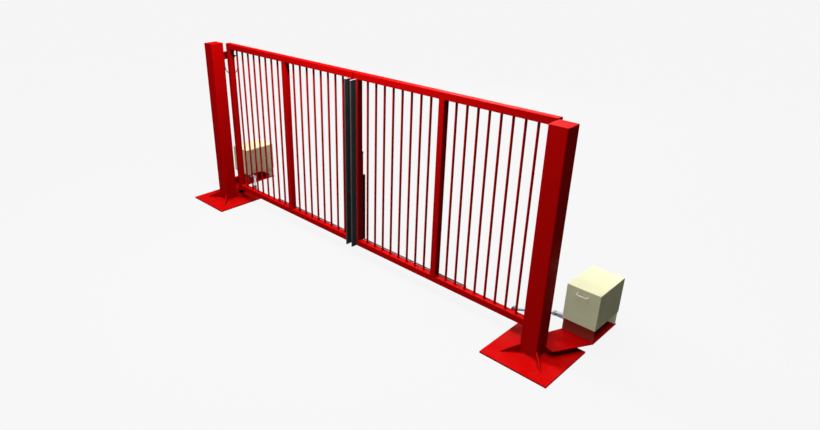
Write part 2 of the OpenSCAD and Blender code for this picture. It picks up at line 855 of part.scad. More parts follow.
module gland(at) {
    translate(at) rotate([-90, 0, 0]) difference() {
        union() {
            cylinder(d = gland_d, h = gland_l - gland_nut_t);
            cylinder(d = gland_d + gland_nut_extra, h = gland_nut_t, $fn = 6);
            cylinder(d = gland_d - gland_nut_extra, h = gland_l);
        }
        translate([0, 0, gland_l - gland_mouth]) cylinder(d = cable_d + 2, h = gland_mouth + 1);
    }
}

module post_glands() {
    color(dark_steel) both_halves() gland([post_gland_x, post_back, gland_z]);
}

module leaf_gland(side) {
    color(dark_steel) half(side) gland([leaf_gland_x, leaf_rear, gland_z]);
}

function unit(v) = v / norm(v);

// A point on the smooth curve through the route's points i and i + 1, at t from 0 to 1
function on_curve(p, i, t) = let (
    a = p[max(i - 1, 0)], b = p[i], c = p[i + 1], d = p[min(i + 2, len(p) - 1)])
    0.5 * (2 * b + (c - a) * t + (2 * a - 5 * b + 4 * c - d) * t * t
        + (3 * b - a - 3 * c + d) * t * t * t);

cable_line = [for (i = [0:len(cable_route) - 2], s = [0:cable_steps - 1])
    on_curve(cable_route, i, s / cable_steps), cable_route[len(cable_route) - 1]];

// Direction of the cable at ring i
function cable_dir(i) = i == 0 ? [0, 1, 0]
    : i == len(cable_line) - 1 ? [0, -1, 0]
    : unit(cable_line[i + 1] - cable_line[i - 1]);

// A frame carried from ring to ring without twist
function carried(i, n) = let (t = cable_dir(i)) unit(n - (n * t) * t);
function ring_normals(i, n) = i >= len(cable_line) ? []
    : let (m = carried(i, n)) concat([m], ring_normals(i + 1, m));

module loop_cable(side) {
    normals = ring_normals(0, [1, 0, 0]);
    rings = [for (i = [0:len(cable_line) - 1])
        let (n = normals[i], b = cross(cable_dir(i), n))
        for (k = [0:cable_sides - 1])
            let (a = 360 * k / cable_sides)
            cable_line[i] + cable_d / 2 * (cos(a) * n + sin(a) * b)];
    last = (len(cable_line) - 1) * cable_sides;
    walls = [for (i = [0:len(cable_line) - 2], k = [0:cable_sides - 1])
        let (j = (k + 1) % cable_sides, u = i * cable_sides, v = u + cable_sides)
        each [[u + k, v + k, v + j], [u + k, v + j, u + j]]];
    ends = [[for (k = [0:cable_sides - 1]) k],
        [for (k = [cable_sides - 1:-1:0]) last + k]];
    color(rubber) half(side) polyhedron(points = rings, faces = concat(walls, ends));
}

base_plates();
post(-1);  // post_left
post(1);  // post_right
post_caps();
gussets();
platforms();
pedestal_front();
pedestal_rear();
deck_plates();
deck_posts();
gear_cases();
motors();
control_boxes();
cover(-1);  // cover_left
cover(1);  // cover_right
cover_handles();
cover_screws();
hinge_brackets();
hinge_pins();
post_glands();
top_rail(-1);  // top_rail_left
bottom_rail(-1);  // bottom_rail_left
stile(-1, leaf_out - frame_w / 2);  // hinge_stile_left
stile(-1, mid_x);  // mid_stile_left
stile(-1, leaf_in + frame_w / 2);  // meeting_stile_left
bars(-1);  // bars_left
hinge_arms(-1);  // hinge_arms_left
hinge_bushes(-1);  // hinge_bushes_left
arm_lug(-1);  // arm_lug_left
edge_carriers(-1);  // edge_carriers_left
edge_rubber(-1);  // edge_rubber_left
leaf_gland(-1);  // leaf_gland_left
top_rail(1);  // top_rail_right
bottom_rail(1);  // bottom_rail_right
stile(1, leaf_out - frame_w / 2);  // hinge_stile_right
stile(1, mid_x);  // mid_stile_right
stile(1, leaf_in + frame_w / 2);  // meeting_stile_right
bars(1);  // bars_right
hinge_arms(1);  // hinge_arms_right
hinge_bushes(1);  // hinge_bushes_right
arm_lug(1);  // arm_lug_right
edge_carriers(1);  // edge_carriers_right
edge_rubber(1);  // edge_rubber_right
leaf_gland(1);  // leaf_gland_right
bolt_housing();
drop_bolt();
bolt_knob();
crank(-1);  // crank_left
crank(1);  // crank_right
crank_pin_solid(-1);  // crank_pin_left
crank_pin_solid(1);  // crank_pin_right
output_shaft(-1);  // output_shaft_left
output_shaft(1);  // output_shaft_right
link_rod(-1);  // link_rod_left
link_rod(1);  // link_rod_right
worm_shaft(-1);  // worm_shaft_left
worm_shaft(1);  // worm_shaft_right
loop_cable(-1);  // loop_cable_left
loop_cable(1);  // loop_cable_right
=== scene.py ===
"""Looks of a powered double-leaf bar gate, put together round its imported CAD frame.

Metres. +X runs along the gateway, +Y is the side the leaves open to, +Z is up.
The right half stands at +X and the left half is its mirror image.
"""

import math
import random

import bmesh
import bpy
from mathutils import Matrix, Vector


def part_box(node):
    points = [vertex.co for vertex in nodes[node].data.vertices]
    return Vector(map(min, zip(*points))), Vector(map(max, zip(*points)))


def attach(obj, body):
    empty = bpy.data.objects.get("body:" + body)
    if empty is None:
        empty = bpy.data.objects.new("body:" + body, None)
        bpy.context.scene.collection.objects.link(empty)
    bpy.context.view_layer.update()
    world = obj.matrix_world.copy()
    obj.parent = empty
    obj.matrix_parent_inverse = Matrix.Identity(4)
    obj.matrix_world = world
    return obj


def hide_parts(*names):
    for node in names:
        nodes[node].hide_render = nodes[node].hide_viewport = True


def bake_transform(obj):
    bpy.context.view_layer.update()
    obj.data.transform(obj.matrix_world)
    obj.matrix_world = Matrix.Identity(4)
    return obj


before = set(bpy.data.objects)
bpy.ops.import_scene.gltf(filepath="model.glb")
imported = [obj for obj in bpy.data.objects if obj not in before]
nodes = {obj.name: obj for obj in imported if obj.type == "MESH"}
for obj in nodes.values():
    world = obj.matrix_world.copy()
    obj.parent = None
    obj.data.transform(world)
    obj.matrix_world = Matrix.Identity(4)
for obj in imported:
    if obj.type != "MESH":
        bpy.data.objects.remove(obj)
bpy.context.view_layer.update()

halves = (("left", -1), ("right", 1))


# ---- Camera ----
# A wide lens looks down across the gateway from in front of the right post. Its small shift
# places the gate left of the picture's middle.
camera = bpy.data.objects.new("camera", bpy.data.cameras.new("camera"))
bpy.context.scene.collection.objects.link(camera)
bpy.context.scene.camera = camera
camera.location = (5.407, -4.984, 4.104)
camera.rotation_euler = (math.radians(65.01), 0, math.radians(45.55))
camera.data.sensor_width = 36
camera.data.lens = 27.39
camera.data.shift_x = 0.0557
camera.data.shift_y = -0.0027
bpy.context.scene.view_settings.view_transform = "Standard"


# ---- Loop cables ----
# A black rubber-sheathed cable hangs in a loop between post and leaf on each side, and feeds the
# leaf's safety edges. It is one round cable held in a gland at each end.
CABLE_D = 0.012
CABLE_ROUTE = [
    (2.904, 0.128, 2.300), (2.898, 0.157, 2.290), (2.894, 0.177, 2.266), (2.891, 0.184, 2.235),
    (2.890, 0.185, 2.204), (2.889, 0.185, 2.172), (2.887, 0.185, 2.141), (2.886, 0.185, 2.109),
    (2.882, 0.187, 2.078), (2.870, 0.192, 2.049), (2.847, 0.202, 2.030), (2.819, 0.214, 2.022),
    (2.790, 0.227, 2.021), (2.761, 0.240, 2.022), (2.734, 0.253, 2.030), (2.711, 0.264, 2.049),
    (2.697, 0.271, 2.076), (2.690, 0.275, 2.107), (2.686, 0.278, 2.138), (2.683, 0.280, 2.170),
    (2.679, 0.283, 2.201), (2.676, 0.285, 2.232), (2.671, 0.280, 2.263), (2.664, 0.262, 2.288),
    (2.658, 0.234, 2.300)]


def smooth_line(points, steps):
    """The points of a smooth curve through the given ones, with `steps` stretches between two."""
    p = [Vector(point) for point in points]
    line = []
    for i in range(len(p) - 1):
        a, b, c, d = p[max(i - 1, 0)], p[i], p[i + 1], p[min(i + 2, len(p) - 1)]
        for s in range(steps):
            t = s / steps
            line.append(0.5 * (2 * b + (c - a) * t + (2 * a - 5 * b + 4 * c - d) * t * t
                               + (3 * b - a - 3 * c + d) * t ** 3))
    return line + [p[-1]]


def sweep(bm, line, radius, sides=12, closed=False):
    """A round tube along a line. `radius` is a number, or a function of the ring's number."""
    count = len(line)
    normal = None
    rings = []
    for i, point in enumerate(line):
        before = line[i - 1] if i or closed else line[0]
        after = line[(i + 1) % count] if i < count - 1 or closed else line[-1]
        along = (after - before).normalized()
        if normal is None:
            normal = along.orthogonal()
        normal = (normal - normal.dot(along) * along).normalized()
        across = along.cross(normal)
        r = radius(i) if callable(radius) else radius
        rings.append([bm.verts.new(point + r * (math.cos(a) * normal + math.sin(a) * across))
                      for a in (2 * math.pi * k / sides for k in range(sides))])
    for i in range(count if closed else count - 1):
        one, two = rings[i], rings[(i + 1) % count]
        for k in range(sides):
            bm.faces.new((one[k], one[(k + 1) % sides], two[(k + 1) % sides], two[k]))
    if not closed:
        bm.faces.new(list(reversed(rings[0])))
        bm.faces.new(rings[-1])


def piece_from(name, bm, finish, smooth_angle=35):
    """A new object from a bmesh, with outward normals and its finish."""
    bmesh.ops.recalc_face_normals(bm, faces=bm.faces)
    mesh = bpy.data.meshes.new(name)
    bm.to_mesh(mesh)
    bm.free()
    mesh.materials.append(finish)
    mesh.shade_smooth()
    mesh.set_sharp_from_angle(angle=math.radians(smooth_angle))
    piece = bpy.data.objects.new(name, mesh)
    bpy.context.scene.collection.objects.link(piece)
    return piece


def blank_finish(name):
    """A material with only its output and a Principled shader, and a function that adds nodes."""
    material = bpy.data.materials.new(name)
    material.use_nodes = True
    tree = material.node_tree
    tree.nodes.clear()
    output = tree.nodes.new("ShaderNodeOutputMaterial")
    shader = tree.nodes.new("ShaderNodeBsdfPrincipled")
    tree.links.new(shader.outputs["BSDF"], output.inputs["Surface"])
    place = tree.nodes.new("ShaderNodeTexCoord").outputs["Object"]

    def link(output_socket, node, socket):
        tree.links.new(output_socket, node.inputs[socket])

    return material, tree, shader, place, link


def noise(tree, place, scale, detail=4, stretch=None):
    """The 0 to 1 value of a cloud noise at that many lumps a metre, stretched if asked."""
    if stretch:
        mapping = tree.nodes.new("ShaderNodeMapping")
        mapping.inputs["Scale"].default_value = stretch
        tree.links.new(place, mapping.inputs["Vector"])
        place = mapping.outputs["Vector"]
    node = tree.nodes.new("ShaderNodeTexNoise")
    node.inputs["Scale"].default_value = scale
    node.inputs["Detail"].default_value = detail
    tree.links.new(place, node.inputs["Vector"])
    return node.outputs["Fac"]


def spread(tree, value, low, high, start=0.3, end=0.7):
    """A value between start and end, spread over low to high."""
    node = tree.nodes.new("ShaderNodeMapRange")
    node.inputs["From Min"].default_value = start
    node.inputs["From Max"].default_value = end
    node.inputs["To Min"].default_value = low
    node.inputs["To Max"].default_value = high
    tree.links.new(value, node.inputs["Value"])
    return node.outputs["Result"]


def between(tree, share, one, two):
    """A colour between two, each a colour or another node's output."""
    node = tree.nodes.new("ShaderNodeMix")
    node.data_type = "RGBA"
    tree.links.new(share, node.inputs["Factor"])
    for socket, colour in ((6, one), (7, two)):
        if isinstance(colour, bpy.types.NodeSocket):
            tree.links.new(colour, node.inputs[socket])
        else:
            node.inputs[socket].default_value = (*colour, 1)
    return node.outputs[2]


def bump(tree, shader, height, depth, strength=1.0):
    """Bump on a shader from a height value, `depth` metres deep."""
    node = tree.nodes.new("ShaderNodeBump")
    node.inputs["Distance"].default_value = depth
    node.inputs["Strength"].default_value = strength
    tree.links.new(height, node.inputs["Height"])
    tree.links.new(node.outputs["Normal"], shader.inputs["Normal"])


def cable_sheath():
    """Matt black rubber sheath, dusted grey here and there."""
    material, tree, shader, place, link = blank_finish("cable_sheath")
    dust = spread(tree, noise(tree, place, 14), 0, 1, 0.45, 0.75)
    link(between(tree, dust, (0.010, 0.010, 0.011), (0.035, 0.034, 0.032)), shader, "Base Color")
    link(spread(tree, noise(tree, place, 60), 0.5, 0.72), shader, "Roughness")
    bump(tree, shader, noise(tree, place, 900, 2), 0.0002)
    return material


sheath = cable_sheath()
for name, side in halves:
    route = [(side * x, y, z) for x, y, z in CABLE_ROUTE]
    line = smooth_line(route, 4)
    bm = bmesh.new()
    sweep(bm, line, CABLE_D / 2, sides=14)
    cable = piece_from(f"cable_loop_{name}", bm, sheath)
    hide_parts(f"loop_cable_{name}")
    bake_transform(cable)


# ---- Cable glands ----
# Black nylon glands grip the cable where it leaves the post and where it enters the leaf. Each is
# a hexagon body with a domed nut, screwed into the steel.
def moulded_nylon():
    """Black nylon with a fine moulded grain."""
    material, tree, shader, place, link = blank_finish("moulded_nylon")
    shade = spread(tree, noise(tree, place, 30), 0, 1)
    link(between(tree, shade, (0.012, 0.012, 0.014), (0.024, 0.024, 0.026)), shader, "Base Color")
    link(spread(tree, noise(tree, place, 120), 0.38, 0.55), shader, "Roughness")
    bump(tree, shader, noise(tree, place, 1500, 2), 0.0001)
    return material


def dress(names, finish):
    """CAD nodes take a finish in place of their plain colour."""
    for name in names:
        nodes[name].data.materials.clear()
        nodes[name].data.materials.append(finish)


dress(["post_glands", "leaf_gland_left", "leaf_gland_right"], moulded_nylon())


# ---- Posts and caps ----
# Two 200 mm square steel tubes, each closed by a flat welded cap plate, shot-blasted and coated
# red all over. The coat is satin with a faint orange peel, and thin at the steel's edges.
GATE_RED = (0.60, 0.0012, 0.0012)


def red_coat(name, colour, roughness=0.46, specular=0.03):
    """Satin red powder coat: cloudy tone, orange peel, scuffs, and road dust near the ground."""
    material, tree, shader, place, link = blank_finish(name)
    deep = tuple(channel * 0.93 for channel in colour)
    tone = between(tree, spread(tree, noise(tree, place, 2.6, 5), 0, 1), deep, colour)
    height = tree.nodes.new("ShaderNodeSeparateXYZ")
    link(place, height, "Vector")
    low = spread(tree, height.outputs["Z"], 0.10, 0.0, 0.0, 0.16)
    patchy = tree.nodes.new("ShaderNodeMath")
    patchy.operation = "MULTIPLY"
    link(low, patchy, 0)
    link(spread(tree, noise(tree, place, 9, 8), 0, 1, 0.42, 0.72), patchy, 1)
    dusted = between(tree, patchy.outputs["Value"], tone, (0.28, 0.05, 0.035))
    nicks = spread(tree, noise(tree, place, 34, 6), 0.0, 0.8, 0.77, 0.80)
    link(between(tree, nicks, dusted, (0.20, 0.012, 0.010)), shader, "Base Color")
    scuffs = spread(tree, noise(tree, place, 7, 6), roughness - 0.05, roughness + 0.13)
    link(scuffs, shader, "Roughness")
    shader.inputs["Specular IOR Level"].default_value = specular
    bump(tree, shader, noise(tree, place, 420, 2), 0.0004, 0.35)
    return material


def soften(names, width, segments=2):
    """The sharp edges of CAD nodes get a small rolled or filed round of that width."""
    for name in names:
        weld = nodes[name].modifiers.new("weld", "WELD")
        weld.merge_threshold = 0.00001
        bevel = nodes[name].modifiers.new("bevel", "BEVEL")
        bevel.width = width
        bevel.segments = segments
        bevel.limit_method = "ANGLE"
        bevel.angle_limit = math.radians(40)
        bevel.harden_normals = True


gate_coat = red_coat("gate_red_coat", GATE_RED)
dress(["post_left", "post_right", "post_caps"], gate_coat)
soften(["post_caps"], 0.0015)


# ---- Base plates and gussets ----
# Square 20 mm plates that the posts stand on, with four triangular ribs out to the corners. They
# are sawn and ground, welded to the post and coated with it.
dress(["base_plates", "gussets"], gate_coat)
soften(["base_plates"], 0.002)
soften(["gussets"], 0.001)


# ---- Weld beads of the posts ----
# Fillet beads of weld metal round the foot and the cap of each post and along each gusset. They
# are laid by hand, so they ripple, and are coated with the rest.
BEAD = 0.0045
GUSSETS = ((225, 0.116), (315, 0.116), (45, 0.095), (135, 0.095))  # direction, height of the top
GUSSET_HALF = 0.007
FOOT_BEAD_OUT = 0.142
FOOT_BEAD_LENGTH = 0.198
UPRIGHT_BEAD_OUT = 0.134


def straight_run(a, b, pitch=0.004):
    """Points every `pitch` along a straight line."""
    a, b = Vector(a), Vector(b)
    count = max(2, round((b - a).length / pitch))
    return [a.lerp(b, i / count) for i in range(count + 1)]


def bead(bm, line, size=BEAD, closed=False, sides=6):
    """A rippled weld bead along a line."""
    jitter = random.Random(len(line))
    swell = [0.9 + 0.14 * (i % 2) + 0.08 * jitter.random() for i in range(len(line))]
    sweep(bm, line, lambda i: size * swell[i], sides=sides, closed=closed)


def loop_run(corners, pitch=0.004):
    """A closed line through the corners, with points every `pitch`."""
    line = []
    for i, corner in enumerate(corners):
        line += straight_run(corner, corners[(i + 1) % len(corners)], pitch)[:-1]
    return line


def square_run(lo, hi, z, inset):
    """A closed square line at height z, round the box from lo to hi, inset by that much."""
    x0, x1, y0, y1 = lo.x + inset, hi.x - inset, lo.y + inset, hi.y - inset
    return loop_run([(x0, y0, z), (x1, y0, z), (x1, y1, z), (x0, y1, z)])


for name, side in halves:
    bm = bmesh.new()
    lo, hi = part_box(f"post_{name}")
    bead(bm, square_run(lo, hi, lo.z + 0.001, 0.001), 0.005, closed=True)
    bead(bm, square_run(lo, hi, hi.z, 0.0015), 0.0022, closed=True)
    middle = (lo + hi) / 2
    plate_top = lo.z
    for turn, top in GUSSETS:
        out = Vector((math.cos(math.radians(turn)), math.sin(math.radians(turn)), 0))
        across = Vector((-out.y, out.x, 0))
        for edge in (-1, 1):
            foot = middle + out * FOOT_BEAD_OUT + across * edge * GUSSET_HALF
            foot.z = plate_top + 0.001
            bead(bm, straight_run(foot, foot + out * FOOT_BEAD_LENGTH))
            corner = middle + out * UPRIGHT_BEAD_OUT + across * edge * GUSSET_HALF
            corner.z = plate_top + 0.006
            up = corner.copy()
            up.z = top - 0.004
            bead(bm, straight_run(corner, up))
    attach(piece_from(f"post_welds_{name}", bm, gate_coat, 80), "frame")


# ---- Leaf frames and bars ----
# Each leaf is a welded frame of 80 mm square tube with a middle stile, and sixteen round tubes
# stand between the rails. The rails' ends are closed by plates.
for name, _ in halves:
    dress([f"{part}_{name}" for part in ("top_rail", "bottom_rail", "hinge_stile", "mid_stile",
                                         "meeting_stile", "bars")], gate_coat)


# ---- Weld beads of the leaves ----
# Beads of weld metal run round each stile and each bar where it meets a rail, and round the
# rails' end plates. They are laid by hand and coated with the rest.
def round_run(centre, radius, steps=14):
    """A closed level circle of points."""
    return [Vector(centre) + radius * Vector((math.cos(a), math.sin(a), 0))
            for a in (2 * math.pi * k / steps for k in range(steps))]


BARS_A_BAY = 8
BAR_R = 0.014
BAR_END_GAP = 0.132
STILE_BEAD = 0.0035
BAR_BEAD = 0.003
END_PLATE_BEAD = 0.0018
SEAM_LIFT = 0.0005
for name, side in halves:
    bm = bmesh.new()
    stiles = [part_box(f"{part}_stile_{name}") for part in ("meeting", "mid", "hinge")]
    foot, head = stiles[0][0].z, stiles[0][1].z
    for lo, hi in stiles:
        bead(bm, square_run(lo, hi, foot + SEAM_LIFT, 0.0015), STILE_BEAD, closed=True)
        bead(bm, square_run(lo, hi, head - SEAM_LIFT, 0.0015), STILE_BEAD, closed=True)
    for (lo, hi), (far_lo, far_hi) in zip(stiles, stiles[1:]):
        near = max(abs(lo.x), abs(hi.x)) + BAR_END_GAP
        far = min(abs(far_lo.x), abs(far_hi.x)) - BAR_END_GAP
        for i in range(BARS_A_BAY):
            x = side * (near + (far - near) * i / (BARS_A_BAY - 1))
            for z in (foot + SEAM_LIFT, head - SEAM_LIFT):
                bead(bm, round_run((x, (lo.y + hi.y) / 2, z), BAR_R), BAR_BEAD, True, 5)
    for rail in ("top_rail", "bottom_rail"):
        lo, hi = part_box(f"{rail}_{name}")
        for x in (lo.x + 0.003, hi.x - 0.003):
            y0, y1, z0, z1 = lo.y + 0.0012, hi.y - 0.0012, lo.z + 0.0012, hi.z - 0.0012
            bead(bm, loop_run([(x, y0, z0), (x, y1, z0), (x, y1, z1), (x, y0, z1)], 0.006),
                 END_PLATE_BEAD, True, 5)
    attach(piece_from(f"leaf_welds_{name}", bm, gate_coat, 80), f"leaf_{name}")


# ---- Hinges ----
# Flame-cut plate brackets on the post hold a zinc-plated pin, and the leaf's plate arms carry a
# barrel with flanged bronze bushes on it. A grease nipple stands on each pin's head.
def bare_metal(name, pale, deep, smooth, rough, lumps=40, stretch=None, metallic=1.0):
    """Uncoated metal between two tones, with fine tool marks or crystals in its gloss."""
    material, tree, shader, place, link = blank_finish(name)
    cloud = noise(tree, place, lumps, 5, stretch)
    link(between(tree, spread(tree, cloud, 0, 1), deep, pale), shader, "Base Color")
    link(spread(tree, noise(tree, place, lumps * 3, 4, stretch), smooth, rough), shader,
         "Roughness")
    shader.inputs["Metallic"].default_value = metallic
    bump(tree, shader, noise(tree, place, lumps * 12, 2, stretch), 0.0001, 0.4)
    return material


def turned(bm, at, axis, rings, sides=24):
    """A round part on an axis from (radius, height) rings. A third item makes a ring six-sided."""
    at, axis = Vector(at), Vector(axis).normalized()
    one = axis.orthogonal().normalized()
    two = axis.cross(one)
    loops = []
    for ring in rings:
        loop = []
        for k in range(sides):
            angle = 2 * math.pi * k / sides
            r = ring[0]
            if len(ring) > 2:
                r /= math.cos(angle % (math.pi / 3) - math.pi / 6)
            loop.append(bm.verts.new(at + axis * ring[1]
                                     + r * (math.cos(angle) * one + math.sin(angle) * two)))
        loops.append(loop)
    for low, high in zip(loops, loops[1:]):
        for k in range(sides):
            n = (k + 1) % sides
            bm.faces.new((low[k], low[n], high[n], high[k]))
    bm.faces.new(list(reversed(loops[0])))
    bm.faces.new(loops[-1])


GREASE_NIPPLE = [(0.0045, 0, 6), (0.0045, 0.004, 6), (0.003, 0.0045), (0.003, 0.007),
                 (0.0018, 0.0082), (0.0026, 0.0098), (0.0026, 0.0108), (0.0014, 0.0122)]
zinc_plate = bare_metal("zinc_plate", (0.72, 0.73, 0.75), (0.52, 0.53, 0.54), 0.30, 0.50, 60,
                        metallic=0.7)
dress(["hinge_brackets", "hinge_arms_left", "hinge_arms_right"], gate_coat)
soften(["hinge_brackets", "hinge_arms_left", "hinge_arms_right"], 0.001)
dress(["hinge_pins"], zinc_plate)
soften(["hinge_pins"], 0.0012)
dress(["hinge_bushes_left", "hinge_bushes_right"],
      bare_metal("bush_bronze", (0.62, 0.42, 0.20), (0.40, 0.25, 0.11), 0.28, 0.45, 50))
HINGE_HEIGHTS = (0.285, 2.296)
HINGE_X, HINGE_Y = 2.808, 0.280
BRACKET_HALF_W, BRACKET_HALF_H, BRACKET_Y = 0.037, 0.049, 0.101
WEB_HALF, WEB_HALF_H, WEB_Y = 0.006, 0.036, 0.112
ARM_HALF_H, ARM_Y = 0.0365, 0.2065
ARM_BEAD_X = (2.680, 2.716)
PIN_HEAD_UP = 0.057
for name, side in halves:
    bm = bmesh.new()
    for z in HINGE_HEIGHTS:
        x0, x1 = side * (HINGE_X - BRACKET_HALF_W), side * (HINGE_X + BRACKET_HALF_W)
        y, z0, z1 = BRACKET_Y, z - BRACKET_HALF_H, z + BRACKET_HALF_H
        bead(bm, loop_run([(x0, y, z0), (x1, y, z0), (x1, y, z1), (x0, y, z1)]), 0.004, True)
        for edge in (-1, 1):
            x = side * (HINGE_X + WEB_HALF * edge)
            bead(bm, straight_run((x, WEB_Y, z - WEB_HALF_H), (x, WEB_Y, z + WEB_HALF_H)), 0.003)
    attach(piece_from(f"hinge_welds_{name}", bm, gate_coat, 80), "frame")
    bm = bmesh.new()
    for z in HINGE_HEIGHTS:
        for z_plate in (z - ARM_HALF_H, z + ARM_HALF_H):
            bead(bm, straight_run((side * ARM_BEAD_X[0], ARM_Y, z_plate),
                                  (side * ARM_BEAD_X[1], ARM_Y, z_plate)), 0.0035)
    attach(piece_from(f"hinge_arm_welds_{name}", bm, gate_coat, 80), f"leaf_{name}")
    bm = bmesh.new()
    for z in HINGE_HEIGHTS:
        turned(bm, (side * HINGE_X, HINGE_Y, z + PIN_HEAD_UP), (0, 0, 1), GREASE_NIPPLE)
    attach(piece_from(f"grease_nipples_{name}", bm, zinc_plate), "frame")


# ---- Drive arms ----
# A forked crank under each operator pushes the leaf's lug through a flat rod with an eye at each
# end. Crank and rod are cut from bar and galvanised, and turn on plain pins with washers.
LUG = (2.440, 0.254)
CRANK_PIN = (2.785, 0.499)
LUG_WASHER_Z, LUG_NIPPLE_Z, CRANK_WASHER_Z = 0.263, 0.268, 0.2598
LUG_BEAD_HALF, LUG_BEAD_Y, LUG_BEAD_Z = 0.024, 0.207, (0.2145, 0.2525)
arm_zinc = bare_metal("arm_galvanised", (0.78, 0.82, 0.88), (0.58, 0.63, 0.69), 0.38, 0.58, 22,
                      metallic=0.25)


def matt_paint(name, colour, roughness=0.6, lumps=18):
    """Thin matt paint over steel or iron, a little uneven and dusty."""
    material, tree, shader, place, link = blank_finish(name)
    dusty = tuple(0.75 * channel + 0.02 for channel in colour)
    link(between(tree, spread(tree, noise(tree, place, lumps, 6), 0, 1), dusty, colour), shader,
         "Base Color")
    link(spread(tree, noise(tree, place, lumps * 2, 5), roughness - 0.1, roughness + 0.12),
         shader, "Roughness")
    shader.inputs["Specular IOR Level"].default_value = 0.3
    bump(tree, shader, noise(tree, place, 600, 2), 0.0003, 0.4)
    return material


for name, side in halves:
    dress([f"crank_{name}", f"link_rod_{name}"], arm_zinc)
    soften([f"crank_{name}", f"link_rod_{name}"], 0.0018)
    dress([f"crank_pin_{name}"], zinc_plate)
    dress([f"arm_lug_{name}"], matt_paint(f"lug_paint_{name}", (0.045, 0.045, 0.05)))
    soften([f"arm_lug_{name}"], 0.0012)
    dress([f"output_shaft_{name}", f"worm_shaft_{name}"],
          bare_metal(f"turned_steel_{name}", (0.56, 0.57, 0.58), (0.40, 0.41, 0.42), 0.25, 0.4,
                     30, (1, 1, 6), 0.8))
    bm = bmesh.new()
    turned(bm, (side * LUG[0], LUG[1], LUG_WASHER_Z), (0, 0, 1),
           [(0.0145, 0), (0.016, 0.0004), (0.016, 0.002), (0.0148, 0.0025)])
    turned(bm, (side * LUG[0], LUG[1], LUG_NIPPLE_Z), (0, 0, 1), GREASE_NIPPLE)
    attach(piece_from(f"lug_washer_{name}", bm, zinc_plate), f"leaf_{name}")
    bm = bmesh.new()
    turned(bm, (side * CRANK_PIN[0], CRANK_PIN[1], CRANK_WASHER_Z), (0, 0, 1),
           [(0.0145, 0), (0.016, 0.0004), (0.016, 0.0018), (0.0148, 0.0022), (0.0098, 0.0022),
            (0.0095, 0.0028)])
    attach(piece_from(f"crank_washer_{name}", bm, zinc_plate), f"crank_{name}")
    bm = bmesh.new()
    x0, x1 = side * (LUG[0] - LUG_BEAD_HALF), side * (LUG[0] + LUG_BEAD_HALF)
    y, (z0, z1) = LUG_BEAD_Y, LUG_BEAD_Z
    bead(bm, loop_run([(x0, y, z0), (x1, y, z0), (x1, y, z1), (x0, y, z1)]), 0.003, True)
    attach(piece_from(f"lug_welds_{name}", bm, gate_coat, 80), f"leaf_{name}")


# ---- Platforms and pedestals ----
# A 10 mm plate on two ribs reaches back from each post's foot. Two upright plates and two nutted
# posts stand on it and hold the operator's deck, so that the arm passes under the deck.
# The pedestal's front plate is the gate's red steel, coloured darker and browner: painted shade
# from the cover above it and a painted reflection of the cover's cream.
pedestal_shaded_coat = red_coat("pedestal_painted_shade_coat", (0.46, 0.045, 0.030), 0.32, 0.4)
COVER_CREAM = (0.98, 0.96, 0.62)


def cream_coat(name, colour):
    """Fine-textured cream powder coat with faint handling marks."""
    material, tree, shader, place, link = blank_finish(name)
    deep = tuple(channel * 0.95 for channel in colour)
    marks = spread(tree, noise(tree, place, 46, 6), 0.0, 0.6, 0.76, 0.80)
    tone = between(tree, spread(tree, noise(tree, place, 5, 6), 0, 1), deep, colour)
    link(between(tree, marks, tone, (0.42, 0.38, 0.26)), shader, "Base Color")
    link(spread(tree, noise(tree, place, 18, 5), 0.45, 0.62), shader, "Roughness")
    shader.inputs["Specular IOR Level"].default_value = 0.25
    bump(tree, shader, noise(tree, place, 700, 2), 0.0004, 0.4)
    return material


cream = cream_coat("cover_cream_coat", COVER_CREAM)
dress(["platforms"], gate_coat)
# The front plate takes the red with painted shade and a painted cream reflection in its colour.
dress(["pedestal_front"], pedestal_shaded_coat)
dress(["pedestal_rear", "deck_posts"], cream)
soften(["platforms"], 0.0015)
soften(["pedestal_front", "pedestal_rear"], 0.0012)
DECK_POSTS = ((3.216, 0.538), (2.935, 0.912))
WASHER_Z, NUT_Z = 0.105, 0.108
POST_BEAD_X, POST_BEAD_Y, POST_BEAD_Z = (2.748, 2.940), 0.101, 0.106
PEDESTAL_BEADS = ((0.477, 3.256), (0.485, 3.256), (0.956, 3.268), (0.964, 3.268))  # y, outer x
PEDESTAL_BEAD_X, PEDESTAL_BEAD_Z = 2.906, 0.1055
HEX_NUT = [(0.020, 0, 6), (0.020, 0.012, 6), (0.0185, 0.0135), (0.0125, 0.0135), (0.0121, 0.013)]
for name, side in halves:
    bm = bmesh.new()
    for x, y in DECK_POSTS:
        turned(bm, (side * x, y, WASHER_Z), (0, 0, 1),
               [(0.0235, 0), (0.0245, 0.0004), (0.0245, 0.0026), (0.0235, 0.003)])
        turned(bm, (side * x, y, NUT_Z), (0, 0, 1), HEX_NUT)
    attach(piece_from(f"post_nuts_{name}", bm, zinc_plate), "frame")
    bm = bmesh.new()
    bead(bm, straight_run((side * POST_BEAD_X[0], POST_BEAD_Y, POST_BEAD_Z),
                          (side * POST_BEAD_X[1], POST_BEAD_Y, POST_BEAD_Z)), 0.005)
    for y, outer_x in PEDESTAL_BEADS:
        bead(bm, straight_run((side * PEDESTAL_BEAD_X, y, PEDESTAL_BEAD_Z),
                              (side * outer_x, y, PEDESTAL_BEAD_Z)), 0.003)
    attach(piece_from(f"platform_welds_{name}", bm, gate_coat, 80), "frame")


